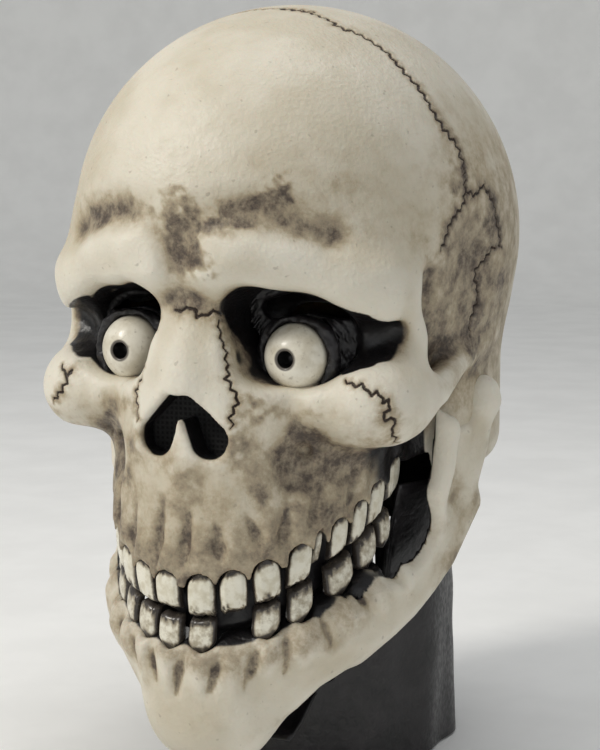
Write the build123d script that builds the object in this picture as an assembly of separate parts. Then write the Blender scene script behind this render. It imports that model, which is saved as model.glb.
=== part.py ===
from build123d import *
import os
from math import cos, degrees, sin, tan, radians

os.makedirs("parts", exist_ok=True)

# An over-the-head skull mask of moulded latex. The origin is on the axis of the
# wearer's head at eye level: +Z up, -Y towards the face, +X to the mask's left.
# All sizes are in millimetres.

# Driving dimensions of the skull skin
SKIN = 3.0                            # thickness of the bone-coloured latex
CROWN = ((0, 6, 50), (86, 108, 91))   # cranium: centre and radii
BROW = ((0, -6, 58), (81, 99, 82))    # fuller forehead
OCCIPUT = (80, 92)                    # radii of the upright block behind the ears
OCCIPUT_Y = 12
OCCIPUT_TOP, OCCIPUT_BOTTOM = 30, -46
OCCIPUT_FRONT = -20
CHEEKBONE = ((62, -60, -8), (22, 25, 17))
BROW_LOBE = ((58, -60, 37), (20, 23, 15))
ORBIT_SIDE = ((71, -54, 32), (72, -56, -4), 9.0)
ARCH_FRONT, ARCH_BACK, ARCH_R = (76, -48, -7), (83, 8, 7), 8.0
RAMUS_RECESS = ((70, 100), (-44, 28), (-70, -3))   # room for the jaw's upright branch

# Dental arch, on one occlusal slope that rises towards the back
ARCH_Y = -31
TOOTH_ROW = (57, 70)                  # radii of the teeth's front faces
FACE = (58, 71)                       # radii of the face around the upper teeth
RIM_INNER = (48, 61)                  # inside of the rims that hold the teeth
RIM_HEIGHT = 5.0
OCCLUSAL_TILT = 28.5                  # degrees about X
GUM_UPPER, TIP_UPPER = -18.2, -33.2   # heights at y = 0 of the sloping planes
TIP_LOWER, GUM_LOWER = -35.2, -48.2
TOOTH_DEPTH = 6.6
LOWER_SETBACK = 1.0

# Jaw: an oval ring that narrows downwards, cut to the profile of a lower jaw
JAW_SECTIONS = [(-2, 3, 81, 103), (-60, -3, 76, 97), (-104, -19, 65, 83), (-148, -27, 43, 56)]
JAW_WALL = 4.0
HINGE_Y, HINGE_Z = 8, -14
CONDYLE_R = 8.5

# Black lining behind the teeth
LINING_GAP, LINING_WALL = 1.0, 1.6

# Eye sockets, eyeballs and vision slots
SOCKET_X, SOCKET_Z = 36, 9
SOCKET_SECTIONS = [(-125, 26, 24), (-85, 23, 21.5), (-68, 19, 17.5), (-60.9, 12, 11)]   # y, radii
CUP_WALL = 2.0
EYEBALL = (35.5, -73, 8)
EYEBALL_R = 12.5
PUPIL_R, PUPIL_DEPTH = 3.8, 9.0
SLOT_SIZE = (26, 60, 5.6)             # width, run and height of a vision slot
SLOT_Z = 23.8

# Nose opening
NOSE_TOP, NOSE_SIDE_Z, NOSE_LOBE_Z = -6, -21.5, -30
NOSE_SPUR_Z = -15.5
NOSE_HALF = 19
NOSE_GAUZE_Y = -90

# Neck: upright oval tube, open at the front where the jaw closes it
NECK_Y = 18
NECK_SECTIONS = [(-46.2, 14, 69, 78), (-84, 18, 58, 62), (-165, 18, 60, 64)]
NECK_WALL = 2.0
NECK_FRONT_CUT_Y, NECK_FRONT_TOP = -20, -126
FLAP_TOP, FLAP_BOTTOM = -84, -162
FLAP_HALF, FLAP_GAP = 46.0, 0.75

# Foam pads inside the cranium
PAD_SEAT, PAD_THICKNESS = 3.3, 9.0

# Each tooth: place along the arch in radians, and width
UPPER_TEETH = [(0.13, 11.6), (0.35, 11.2), (0.565, 11.2), (0.78, 10.2),
               (1.05, 9.2), (1.21, 9.4), (1.37, 10.2), (1.57, 11.6)]
LOWER_TEETH = [(0.125, 11.2), (0.345, 11.0), (0.565, 11.4), (0.79, 11.6),
               (1.07, 13.4), (1.30, 12.2), (1.48, 8.4)]
LOST_LOWER_LEFT = 2                   # the second lower tooth on the left is lost
STUB = (0.905, 4.4, 2.0)              # stunted upper tooth on the left: place, width, setback

BIG = 500


def save(shape, name):
    export_step(shape, f"parts/{name}.step")


def ellipsoid(centre, radii, grow=0.0):
    unit = 50
    factors = tuple((r + grow) / unit for r in radii)
    return Pos(*centre) * scale(Sphere(unit), by=factors)


def block(x, y, z):
    """A box between two values on each axis."""
    spans = [x, y, z]
    centre = [(low + high) / 2 for low, high in spans]
    return Pos(*centre) * Box(*[high - low for low, high in spans])


def column(radii, centre_y, bottom, top, grow=0.0):
    """An upright oval column."""
    face = Ellipse(radii[0] + grow, radii[1] + grow)
    return Pos(0, centre_y, bottom) * extrude(face, top - bottom)


def oval_loft(sections, grow=0.0):
    """A smooth tube core through (z, centre y, radius x, radius y) sections."""
    return loft([Pos(0, y, z) * Ellipse(a + grow, b + grow) for z, y, a, b in sections])


def below(height):
    """Everything under the sloping occlusal plane that crosses y = 0 at a height."""
    return Pos(0, 0, height) * Rot(X=OCCLUSAL_TILT) * Pos(0, 0, -BIG / 2) * Box(BIG, BIG, BIG)


def slope_band(low, high):
    return below(high) - below(low)


def pair(shape):
    """A shape on the left and its mirror image on the right."""
    return [shape, mirror(shape, about=Plane.YZ)]


def rod(start, end, radius):
    """A bar with round ends between two points."""
    axis = Plane(origin=start, z_dir=Vector(*end) - Vector(*start))
    length = (Vector(*end) - Vector(*start)).length
    return axis * extrude(Circle(radius), length) + Pos(*start) * Sphere(radius) + Pos(*end) * Sphere(radius)


def ramus_recess(grow=0.0):
    (x0, x1), (y0, y1), (z0, z1) = RAMUS_RECESS
    return pair(block((x0 - grow, x1), (y0 - grow, y1 + grow), (z0, z1 + grow)))


def cranium_form(grow=0.0):
    """The brain case as a solid, swollen or shrunk by a wall thickness."""
    form = ellipsoid(*CROWN, grow) + ellipsoid(*BROW, grow)
    occiput = column(OCCIPUT, OCCIPUT_Y, OCCIPUT_BOTTOM - grow, OCCIPUT_TOP, grow)
    occiput = occiput & block((-BIG, BIG), (OCCIPUT_FRONT - grow, BIG), (-BIG, BIG))
    return form + occiput


def skull_form(grow=0.0):
    """The brain case with the face in front of it."""
    form = cranium_form(grow)
    form = form + pair(ellipsoid(*CHEEKBONE, grow)) + pair(ellipsoid(*BROW_LOBE, grow))
    form = form + pair(rod(ORBIT_SIDE[0], ORBIT_SIDE[1], ORBIT_SIDE[2] + grow))
    form = form + column(FACE, ARCH_Y, -70, 20, grow)
    return form - ramus_recess(-grow)


def socket_bowl(grow=0.0):
    """The tapering hollow of the left eye socket, from in front of the face to its floor."""
    sections = []
    for y, rx, rz in SOCKET_SECTIONS:
        last = y == SOCKET_SECTIONS[-1][0]
        at = Plane(origin=(SOCKET_X, y + (grow if last else 0), SOCKET_Z), x_dir=(1, 0, 0), z_dir=(0, -1, 0))
        sections.append(at * Ellipse(rx + grow, rz + grow))
    return loft(sections)


def nose_opening():
    """The upside-down heart of the nose, with the bone spur between its lobes."""
    outline = Polyline((0, NOSE_TOP), (NOSE_HALF * 0.45, NOSE_TOP - 7), (NOSE_HALF, NOSE_SIDE_Z),
                       (NOSE_HALF * 0.6, NOSE_LOBE_Z), (2.5, NOSE_LOBE_Z + 3), (0, NOSE_SPUR_Z),
                       (-2.5, NOSE_LOBE_Z + 3), (-NOSE_HALF * 0.6, NOSE_LOBE_Z),
                       (-NOSE_HALF, NOSE_SIDE_Z), (-NOSE_HALF * 0.45, NOSE_TOP - 7), close=True)
    face = Plane.XZ * make_face(outline)
    return Pos(0, -130, 0) * extrude(face, -50)


def make_skull_skin():
    skin = skull_form() - skull_form(-SKIN)
    skin = skin - column(FACE, ARCH_Y, -90, -30, -SKIN)
    skin = skin - column((66, 74), 14, OCCIPUT_BOTTOM - 30, OCCIPUT_BOTTOM + 10)
    keep_below_rim = below(GUM_UPPER) & block((-BIG, BIG), (-BIG, OCCIPUT_FRONT), (-BIG, BIG))
    skin = skin - keep_below_rim
    rim = column(FACE, ARCH_Y, -90, 20) - column(RIM_INNER, ARCH_Y, -91, 21)
    rim = rim & slope_band(GUM_UPPER, GUM_UPPER + RIM_HEIGHT)
    rim = rim & block((-BIG, BIG), (-BIG, OCCIPUT_FRONT - 4), (-BIG, BIG))
    skin = skin + rim
    skin = skin + pair(rod(ARCH_FRONT, ARCH_BACK, ARCH_R))
    skin = skin - pair(socket_bowl())
    return skin - nose_opening()


def vision_slot():
    width, run, height = SLOT_SIZE
    return Pos(SOCKET_X, EYEBALL[1], SLOT_Z) * Box(width, run, height)


def make_eye_cup():
    cup = socket_bowl(CUP_WALL) - socket_bowl()
    cup = cup & skull_form(-SKIN)
    return cup - vision_slot()


def make_eyeball():
    ball = Pos(*EYEBALL) * Sphere(EYEBALL_R)
    x, y, z = EYEBALL
    pupil = Pos(x, y - EYEBALL_R + PUPIL_DEPTH / 2, z) * Rot(X=90) * Cylinder(PUPIL_R, PUPIL_DEPTH)
    return ball - pupil


def make_nose_gauze():
    outline = Polyline((-13, -4), (13, -4), (19, -18), (19, -35), (-19, -35), (-19, -18), close=True)
    return Pos(0, NOSE_GAUZE_Y, 0) * extrude(Plane.XZ * make_face(outline), -1)


def make_tooth(place, width, setback, root, tip):
    """A tooth with its root on one sloping plane and its edge on another."""
    a, b = TOOTH_ROW[0] - setback, TOOTH_ROW[1] - setback
    outward = Vector(b * sin(place), -a * cos(place), 0).normalized()
    face = Vector(a * sin(place), ARCH_Y - b * cos(place), 0)
    centre = face - outward * (TOOTH_DEPTH / 2)
    along = outward.cross(Vector(0, 0, 1))
    slope = tan(radians(OCCLUSAL_TILT)) * centre.Y
    margin = 8 if root > tip else -8

    def section(height, wide, deep):
        at = Plane(origin=(centre.X, centre.Y, height + slope), x_dir=along, z_dir=(0, 0, 1))
        return at * RectangleRounded(wide, deep, min(wide, deep) * 0.42)

    swell = tip + (root - tip) * 0.35
    sections = [section(root + margin, width * 0.78, TOOTH_DEPTH * 0.9),
                section(swell, width, TOOTH_DEPTH),
                section(tip - margin / 2, width * 0.9, TOOTH_DEPTH * 0.5)]
    tooth = loft(sections if root < tip else sections[::-1])
    return tooth & slope_band(min(root, tip), max(root, tip))


def make_teeth():
    for row, root, tip, setback in (("upper", GUM_UPPER, TIP_UPPER, 0.0),
                                    ("lower", GUM_LOWER, TIP_LOWER, LOWER_SETBACK)):
        teeth = UPPER_TEETH if row == "upper" else LOWER_TEETH
        for number, (place, width) in enumerate(teeth, start=1):
            for side, sign in (("left", 1), ("right", -1)):
                if row == "lower" and side == "left" and number == LOST_LOWER_LEFT:
                    continue
                tooth = make_tooth(sign * place, width, setback, root, tip)
                save(tooth, f"{row}_tooth_{side}_{number}")
    place, width, setback = STUB
    save(make_tooth(place, width, setback, GUM_UPPER, TIP_UPPER + 2), "upper_tooth_stub")


def jaw_profile():
    """The side view of the lower jaw, as a prism across the whole width."""
    outline = Polyline((-27, -17), (-22, -30), (-8, -32), (2, -22), (14, -22), (21, -33), (15, -48),
                       (2, -64), (-7, -78), (-18, -91), (-47, -106), (-69, -119), (-78, -138),
                       (-80, -146), (-120, -146), (-120, -113.4), (-44, -72.1), (-34, -60),
                       (-28, -44), (-33, -19), close=True)
    face = Plane.YZ * make_face(outline)
    condyle = Plane.YZ * (Pos(HINGE_Y, HINGE_Z) * Circle(CONDYLE_R))
    neck = Plane.YZ * (Pos(HINGE_Y, HINGE_Z - 8) * Rectangle(CONDYLE_R * 1.5, 12))
    prism = extrude(face, 90, both=True) + extrude(neck, 90, both=True)
    return prism + extrude(condyle, 90, both=True)


def make_jaw_skin():
    shell = oval_loft(JAW_SECTIONS) - oval_loft(JAW_SECTIONS, -JAW_WALL)
    jaw = shell & jaw_profile()
    rim = (oval_loft(JAW_SECTIONS) - column(RIM_INNER, ARCH_Y, -200, 0))
    rim = rim & slope_band(GUM_LOWER - RIM_HEIGHT, GUM_LOWER)
    rim = rim & block((-BIG, BIG), (-BIG, -44), (-BIG, BIG))
    return jaw + rim


def make_chin_pad():
    core = oval_loft(JAW_SECTIONS, -JAW_WALL - 0.2)
    return core & block((-26, 26), (-90, -62), (-132, -110))


def make_mouth_lining():
    outer = column(RIM_INNER, ARCH_Y, -130, 0, -LINING_GAP)
    outer = outer - column(RIM_INNER, ARCH_Y, -131, 1, -LINING_GAP - LINING_WALL)
    band = outer & block((-BIG, BIG), (-BIG, ARCH_Y), (-BIG, BIG))
    face = RIM_INNER[0] - LINING_GAP
    side = block((face - LINING_WALL, face), (ARCH_Y, OCCIPUT_FRONT - 2), (-130, 0))
    return (band + pair(side)) & slope_band(GUM_LOWER + 0.5, GUM_UPPER + 3)


def make_throat_web():
    outline = Polyline((-72, -144), (-72, -142), (-46, -128), (-46, -130), close=True)
    return extrude(Plane.YZ * make_face(outline), 30, both=True)


def make_neck():
    """The neck skirt, and the two flaps beside the slit in its back."""
    tube = oval_loft(NECK_SECTIONS) - oval_loft(NECK_SECTIONS, -NECK_WALL)
    front = block((-BIG, BIG), (-BIG, NECK_FRONT_CUT_Y), (NECK_FRONT_TOP, BIG))
    window = block((-FLAP_HALF - FLAP_GAP, FLAP_HALF + FLAP_GAP), (0, BIG), (-BIG, FLAP_TOP))
    skirt = tube - front - window
    left = tube & block((FLAP_GAP, FLAP_HALF - FLAP_GAP), (0, BIG), (FLAP_BOTTOM, FLAP_TOP - 1))
    return skirt, left


def make_pads():
    layer = cranium_form(-PAD_SEAT) - cranium_form(-PAD_SEAT - PAD_THICKNESS)
    spans = {"forehead_pad": ((-38, 38), (-BIG, -40), (60, 92)),
             "back_pad": ((-30, 30), (60, BIG), (15, 60)),
             "crown_pad": ((-34, 34), (-30, 42), (90, BIG))}
    for name, (x, y, z) in spans.items():
        save(layer & block(x, y, z), name)
    left = layer & block((40, BIG), (-22, 32), (20, 62))
    save(left, "temple_pad_left")
    save(mirror(left, about=Plane.YZ), "temple_pad_right")


save(make_skull_skin(), "skull_skin")
for name, left_piece in (("eye_cup", make_eye_cup()), ("eyeball", make_eyeball())):
    socket_side = left_piece
    save(socket_side, f"{name}_left")
    save(mirror(socket_side, about=Plane.YZ), f"{name}_right")
save(make_nose_gauze(), "nose_gauze")
make_teeth()
save(make_jaw_skin(), "jaw_skin")
save(make_chin_pad(), "chin_pad")
save(make_mouth_lining(), "mouth_lining")
save(make_throat_web(), "throat_web")
neck_skirt, back_flap = make_neck()
save(neck_skirt, "neck_skirt")
save(back_flap, "back_flap_left")
save(mirror(back_flap, about=Plane.YZ), "back_flap_right")
make_pads()
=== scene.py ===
# %% [markdown]
# # A latex skull mask
# An over-the-head skull mask is a hollow skin. Somebody sculpts a skull in clay, takes a plaster
# mould of it, and sloshes liquid latex round the inside. This file works in the same order: it
# sculpts in a block of digital clay, peels a skin off it, and then paints that skin like old bone.
# All sizes below are in millimetres. Blender's own unit is the metre, so MM turns one into the
# other.

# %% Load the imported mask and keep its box
import math

import bmesh
import bpy
import numpy as np
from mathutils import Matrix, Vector
from mathutils.kdtree import KDTree


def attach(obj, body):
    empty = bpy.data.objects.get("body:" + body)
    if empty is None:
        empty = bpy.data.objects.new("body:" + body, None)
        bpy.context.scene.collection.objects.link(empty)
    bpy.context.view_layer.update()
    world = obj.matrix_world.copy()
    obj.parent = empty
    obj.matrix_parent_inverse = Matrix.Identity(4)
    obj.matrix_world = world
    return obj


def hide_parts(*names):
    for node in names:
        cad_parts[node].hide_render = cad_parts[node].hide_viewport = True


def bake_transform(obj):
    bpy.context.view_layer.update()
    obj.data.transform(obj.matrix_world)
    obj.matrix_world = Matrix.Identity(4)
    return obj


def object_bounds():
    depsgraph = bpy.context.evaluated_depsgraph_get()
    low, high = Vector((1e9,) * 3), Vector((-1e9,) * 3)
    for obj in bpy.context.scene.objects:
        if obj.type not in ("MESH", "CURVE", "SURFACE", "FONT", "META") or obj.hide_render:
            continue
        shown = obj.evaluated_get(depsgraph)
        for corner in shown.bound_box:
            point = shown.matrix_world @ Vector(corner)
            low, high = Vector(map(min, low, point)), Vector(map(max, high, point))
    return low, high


MM = 0.001
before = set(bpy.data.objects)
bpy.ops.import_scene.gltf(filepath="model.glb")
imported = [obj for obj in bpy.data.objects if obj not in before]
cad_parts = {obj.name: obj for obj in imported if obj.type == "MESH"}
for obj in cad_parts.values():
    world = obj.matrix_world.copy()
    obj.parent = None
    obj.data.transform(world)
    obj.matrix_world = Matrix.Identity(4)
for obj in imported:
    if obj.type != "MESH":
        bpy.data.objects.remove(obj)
cad_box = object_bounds()


# %% [markdown]
# ## Digital clay
# Three ways suggest themselves for a skull: pull and subdivide a polygon cage, displace a sphere,
# or describe solids by distance and melt them together. Distances win here. Every lump and hollow
# is one line, soft joins come free, and a wall of even thickness is simple arithmetic.

# %% A block of clay: a grid of distances to the surface, negative inside
def smooth_min(a, b, soft):
    """The lower of two distances, with the crease between them filled over a width."""
    if soft <= 0:
        return np.minimum(a, b)
    overlap = np.maximum(soft - np.abs(a - b), 0) / soft
    return np.minimum(a, b) - overlap * overlap * soft / 4


class Clay:
    def __init__(self, low, high, step):
        self.low = np.array(low, np.float32)
        self.step = step
        self.axes = [np.arange(a, b + step, step, dtype=np.float32) for a, b in zip(low, high)]
        self.d = np.full([len(a) for a in self.axes], 60.0, np.float32)

    def window(self, low, high, margin):
        """The part of the grid near a shape, as slices and as coordinates."""
        slices = []
        for axis, a, b in zip(self.axes, low, high):
            first, last = np.searchsorted(axis, (a - margin, b + margin))
            slices.append(slice(int(first), int(last)))
        x, y, z = (axis[s] for axis, s in zip(self.axes, slices))
        return tuple(slices), (x[:, None, None], y[None, :, None], z[None, None, :])

    def add(self, shape, soft=4.0):
        measure, low, high = shape
        part, where = self.window(low, high, soft + 4)
        self.d[part] = smooth_min(self.d[part], measure(*where), soft)

    def cut(self, shape, soft=4.0):
        measure, low, high = shape
        part, where = self.window(low, high, soft + 4)
        self.d[part] = -smooth_min(-self.d[part], measure(*where), soft)

    def keep(self, shape, soft=1.0):
        """Only what lies inside a shape stays."""
        measure, _, _ = shape
        x, y, z = self.axes
        there = measure(x[:, None, None], y[None, :, None], z[None, None, :])
        self.d = -smooth_min(-self.d, -there, soft)

    def sample(self, points, field=None):
        """The distance, or another field on the same grid, at any points between the nodes."""
        field = self.d if field is None else field
        at = (np.asarray(points, np.float32) - self.low) / self.step
        top = np.array(field.shape) - 2
        base = np.clip(np.floor(at), 0, top).astype(int)
        f = np.clip(at - base, 0, 1)
        total = 0.0
        for corner in range(8):
            step = np.array([corner & 1, corner >> 1 & 1, corner >> 2 & 1])
            weight = np.prod(np.where(step, f, 1 - f), axis=1)
            i, j, k = (base + step).T
            total = total + weight * field[i, j, k]
        return total

    def normals(self, points, field=None):
        slope = np.stack([self.sample(points + offset, field) - self.sample(points - offset, field)
                          for offset in np.eye(3)], axis=1)
        return slope / np.maximum(np.linalg.norm(slope, axis=1, keepdims=True), 1e-6)


print("clay ready")


# %% [markdown]
# A handful of tools is enough: a blob for bosses and hollows, a bar for ridges and grooves, an
# upright oval column for the face, and a slab for straight cuts. Each tool is a distance rule and
# the box that it lies in, so that only the clay nearby has to be worked.

# %% Sculpting tools
FAR = 400.0
ALL = (np.full(3, -FAR), np.full(3, FAR))


def blob(centre, radii):
    """An egg."""
    c, r = np.array(centre, np.float32), np.array(radii, np.float32)

    def measure(x, y, z):
        u, v, w = (x - c[0]) / r[0], (y - c[1]) / r[1], (z - c[2]) / r[2]
        near = np.sqrt(u * u + v * v + w * w)
        steep = np.sqrt((u / r[0]) ** 2 + (v / r[1]) ** 2 + (w / r[2]) ** 2)
        return near * (near - 1) / np.maximum(steep, 1e-6)

    return measure, c - r, c + r


def bar(points, radii, flat=(1, 1, 1)):
    """A tapering rod through points. flat squeezes its section: 2 halves it along that axis."""
    s = np.array(flat, np.float32)
    p = np.array(points, np.float32)
    r = np.broadcast_to(np.array(radii, np.float32), len(p))

    def measure(x, y, z):
        best = FAR
        for a, b, ra, rb in zip(p[:-1] * s, p[1:] * s, r[:-1], r[1:]):
            ab = b - a
            px, py, pz = x * s[0] - a[0], y * s[1] - a[1], z * s[2] - a[2]
            t = np.clip((px * ab[0] + py * ab[1] + pz * ab[2]) / (ab @ ab), 0, 1)
            off = np.sqrt((px - t * ab[0]) ** 2 + (py - t * ab[1]) ** 2 + (pz - t * ab[2]) ** 2)
            best = np.minimum(best, off - ra - (rb - ra) * t)
        return best / s.max()

    return measure, p.min(0) - r.max(), p.max(0) + r.max()


def column(radii, centre_y, bottom, top, soft=4.0):
    """An upright oval column with softened ends."""
    rx, ry = radii

    def measure(x, y, z):
        side = (np.sqrt((x / rx) ** 2 + ((y - centre_y) / ry) ** 2) - 1) * min(rx, ry)
        ends = np.abs(z - (top + bottom) / 2) - (top - bottom) / 2
        return -smooth_min(-side, -ends, soft)

    return measure, np.array([-rx, centre_y - ry, bottom]), np.array([rx, centre_y + ry, top])


def slab(axis, edge, sign=1):
    """Everything beyond a value on one axis, or short of it with sign -1."""
    return (lambda x, y, z: sign * (edge - (x, y, z)[axis]) + 0 * (x + y + z)), *ALL


SLOPE = math.tan(math.radians(28.5))      # the bite rises towards the back


def under_bite(height):
    """Everything under the sloping plane that crosses y = 0 at a height."""
    lean = 1 / math.hypot(1, SLOPE)
    return (lambda x, y, z: (z - height - SLOPE * y) * lean + 0 * x), *ALL


def within(*shapes):
    """Only what lies inside all of the shapes."""
    return (lambda x, y, z: np.maximum.reduce([measure(x, y, z) for measure, *_ in shapes])), *ALL


def outside(shape):
    """Everything that a shape leaves free."""
    return (lambda x, y, z: -shape[0](x, y, z)), *ALL


def sided(points, side):
    """The same points on the left (side 1) or the right (side -1) of the face."""
    return [(side * x, y, z) for x, y, z in points]


print("tools: blob, bar, column, slab, under_bite, within, outside")


# %% [markdown]
# The surface is peeled from the clay with surface nets: each grid cell that the surface crosses
# gets one vertex at the mean of the crossings on its edges, and each crossed grid edge gets one
# quad. That gives an even, all-quad mesh, which takes paint and smooth shading well.

# %% Peel a mesh off the clay
def peel(clay):
    d, inside = clay.d, clay.d < 0
    count = np.zeros(np.array(d.shape) - 1, np.uint8)
    corners = [(i, j, k) for i in (0, 1) for j in (0, 1) for k in (0, 1)]
    sizes = np.array(d.shape) - 1
    for c in corners:
        count += inside[tuple(slice(o, o + n) for o, n in zip(c, sizes))]
    active = (count > 0) & (count < 8)
    cell = np.stack(np.nonzero(active), axis=1)
    number = np.full(active.shape, -1, np.int64)
    number[active] = np.arange(len(cell))
    value = [d[tuple((cell + c).T)] for c in corners]
    total, hits = np.zeros((len(cell), 3)), np.zeros(len(cell))
    for a in range(8):
        for b in range(a + 1, 8):
            way = np.array(corners[b]) - corners[a]
            if np.abs(way).sum() != 1:
                continue
            crossed = (value[a] < 0) != (value[b] < 0)
            share = value[a] / np.where(crossed, value[a] - value[b], 1)
            total += np.where(crossed[:, None], corners[a] + share[:, None] * way, 0)
            hits += crossed
    points = clay.low + (cell + total / hits[:, None]) * clay.step
    faces = []
    for axis in range(3):
        one, two = (axis + 1) % 3, (axis + 2) % 3
        near = [slice(1, -1)] * 3
        near[axis] = slice(0, -1)
        far = [slice(1, -1)] * 3
        far[axis] = slice(1, None)
        here = inside[tuple(near)]
        edge = np.stack(np.nonzero(here != inside[tuple(far)]), axis=1)
        solid_first = here[tuple(edge.T)]
        edge[:, one] += 1
        edge[:, two] += 1
        ring = []
        for a, b in ((1, 1), (0, 1), (0, 0), (1, 0)):
            at = edge.copy()
            at[:, one] -= a
            at[:, two] -= b
            ring.append(number[tuple(at.T)])
        quad = np.stack(ring, axis=1)
        faces.append(np.where(solid_first[:, None], quad, quad[:, ::-1]))
    return points, np.concatenate(faces)


def settle(clay, points, rounds, field):
    """Moves points along the slope until they lie on the surface of a field."""
    for _ in range(rounds):
        slope = clay.normals(points, field)
        points = points - slope * np.clip(clay.sample(points, field), -3, 3)[:, None] * 0.8
    return points


def make_mesh(name, points, faces, smooth=True):
    """A Blender object from points in millimetres."""
    mesh = bpy.data.meshes.new(name)
    faces = faces.tolist() if isinstance(faces, np.ndarray) else faces
    mesh.from_pydata((np.asarray(points) * MM).tolist(), [], faces)
    mesh.update()
    if smooth:
        mesh.shade_smooth()
    thing = bpy.data.objects.new(name, mesh)
    bpy.context.scene.collection.objects.link(thing)
    return thing


def paint(thing, **layers):
    """Stores masks on the vertices, for the materials to read."""
    for name, values in layers.items():
        layer = thing.data.attributes.new(name, "FLOAT", "POINT")
        layer.data.foreach_set("value", np.clip(values, 0, 1).astype(np.float32))


def wander(points, size, seed):
    """Smooth noise about -1 to 1 that changes over a size in millimetres: a sum of random waves."""
    dice = np.random.default_rng(seed)
    total = np.zeros(len(points))
    for _ in range(14):
        way = dice.normal(size=3)
        way *= 2 * math.pi / (size * dice.uniform(0.7, 1.8) * np.linalg.norm(way))
        total += np.sin(np.asarray(points) @ way + dice.uniform(0, 2 * math.pi))
    return total / 3.2


print("noise at one point:", wander([(1, 2, 3)], 10, seed=0).round(2))


# %% [markdown]
# ## The bite
# Both rows of teeth stand on one oval arch, and the line between them rises towards the back. The
# bone around them is cut from the same numbers, so the teeth and their sockets always agree.

# %% Places of the teeth
ARCH_Y, ROW_X, ROW_Y = -31, 57, 70
GUM_UPPER, TIP_UPPER, TIP_LOWER, GUM_LOWER = -18.2, -33.2, -35.2, -48.2
UPPER = [(0.13, 11.6), (0.35, 11.2), (0.565, 11.2), (0.78, 10.2),
         (1.05, 9.2), (1.21, 9.4), (1.37, 10.2), (1.57, 11.6)]
LOWER = [(0.125, 11.2), (0.345, 11.0), (0.565, 11.4), (0.79, 11.6),
         (1.07, 13.4), (1.30, 12.2), (1.48, 8.4)]
STUB = (0.905, 4.4)


class Seat:
    """Where one tooth stands: its face on the arch, and which way it looks."""

    def __init__(self, place, setback=0.0):
        a, b = ROW_X - setback, ROW_Y - setback
        self.face = np.array([a * math.sin(place), ARCH_Y - b * math.cos(place), 0.0])
        out = np.array([b * math.sin(place), -a * math.cos(place), 0.0])
        self.out = out / np.linalg.norm(out)
        self.along = np.cross(self.out, (0, 0, 1))

    def at(self, along, out, height):
        """A point beside the seat; its height is measured from the sloping bite."""
        p = self.face + self.along * along + self.out * out
        p[2] = height + SLOPE * (self.face[1] + self.along[1] * along)
        return p


def seats(row):
    """(name, seat, width) of every tooth in a row."""
    found = []
    for number, (place, width) in enumerate(UPPER if row == "upper" else LOWER, start=1):
        for side, sign in (("left", 1), ("right", -1)):
            name = f"{row}_tooth_{side}_{number}"
            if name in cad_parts:
                found.append((name, Seat(sign * place, 0.0 if row == "upper" else 1.0), width))
    if row == "upper":
        found.append(("upper_tooth_stub", Seat(STUB[0], 2.0), STUB[1]))
    return found


print(len(seats("upper")), "upper and", len(seats("lower")), "lower teeth")


# %% [markdown]
# Colour on this mask follows its shape: dark wash runs into hollows, the hollows also get painted
# shade, and the ridges get a painted highlight. So each vertex needs to know how deep it lies.
# Blurring the clay tells that: half of a ball round a point on a flat wall is clay, more of it in a
# hollow, and less on a ridge.

# %% How hollow the surface is around each point
def blur(field, cells):
    for axis in range(3):
        room = [(cells + 1, cells) if a == axis else (0, 0) for a in range(3)]
        total = np.cumsum(np.pad(field, room, mode="edge"), axis=axis, dtype=np.float32)
        span = 2 * cells + 1
        ahead = np.take(total, range(span, total.shape[axis]), axis)
        field = (ahead - np.take(total, range(total.shape[axis] - span), axis)) / span
    return field


def hollowness(clay, reach):
    """A field that is 0 on a flat or bulging wall, and nears 1 deep in a hollow of that reach."""
    cells = max(1, round(reach / clay.step / 1.7))
    return (blur(blur((clay.d < 0).astype(np.float32), cells), cells) - 0.5) * 2


print("hollowness ready")


# %% [markdown]
# ## The skull
# A mask sculptor starts from a smooth egg for the brain case and an upright oval block for the
# face, and then adds the bosses: brow ridges, cheekbones, the bars beside the orbits and the
# nose bridge. The egg and the block have the same sizes as the fixed frame.

# %% Rough out the masses
SKIN = 3.0
FACE = (58, 71)                           # the oval of the face, across and along
SKULL_BLOCK = ((-95, -118, -84), (95, 116, 147), 1.3)
skull = Clay(*SKULL_BLOCK)
skull.add(blob((0, 6, 50), (86, 108, 91)), 0)
skull.add(blob((0, -6, 58), (81, 99, 82)), 12)
rear = Clay(*SKULL_BLOCK)
rear.add(column((78, 91), 12, -46, 30, 14), 0)
rear.cut(slab(1, -24, -1), 18)
skull.d = smooth_min(skull.d, rear.d, 8)
for side in (1, -1):
    for centre, radii in (((61, -61, -9), (21, 24, 19)),      # cheekbone
                          ((56, -60, 38), (20, 22, 15)),      # outer end of the brow
                          ((46, -57, 52), (23, 21, 20))):     # corner of the forehead
        skull.add(blob((side * centre[0], *centre[1:]), radii), 8)
skull.add(column(FACE, ARCH_Y, -90, 14, 10), 12)
print("rough skull,", skull.d.size, "grid nodes")


# %% [markdown]
# Each ridge is a tapering bar through points along its crest, melted into the egg. The brow
# ridges are heavy and hang over the outer corners of the orbits, which gives the skull its scowl.

# %% Brow ridges, cheekbones, arches and nose bridge
def ridges(clay, soft, work):
    """work is a list of (points on the left side, radii); each is made on both sides."""
    for points, radii in work:
        for side in (1, -1):
            clay.add(bar(sided(points, side), radii), soft)


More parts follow.
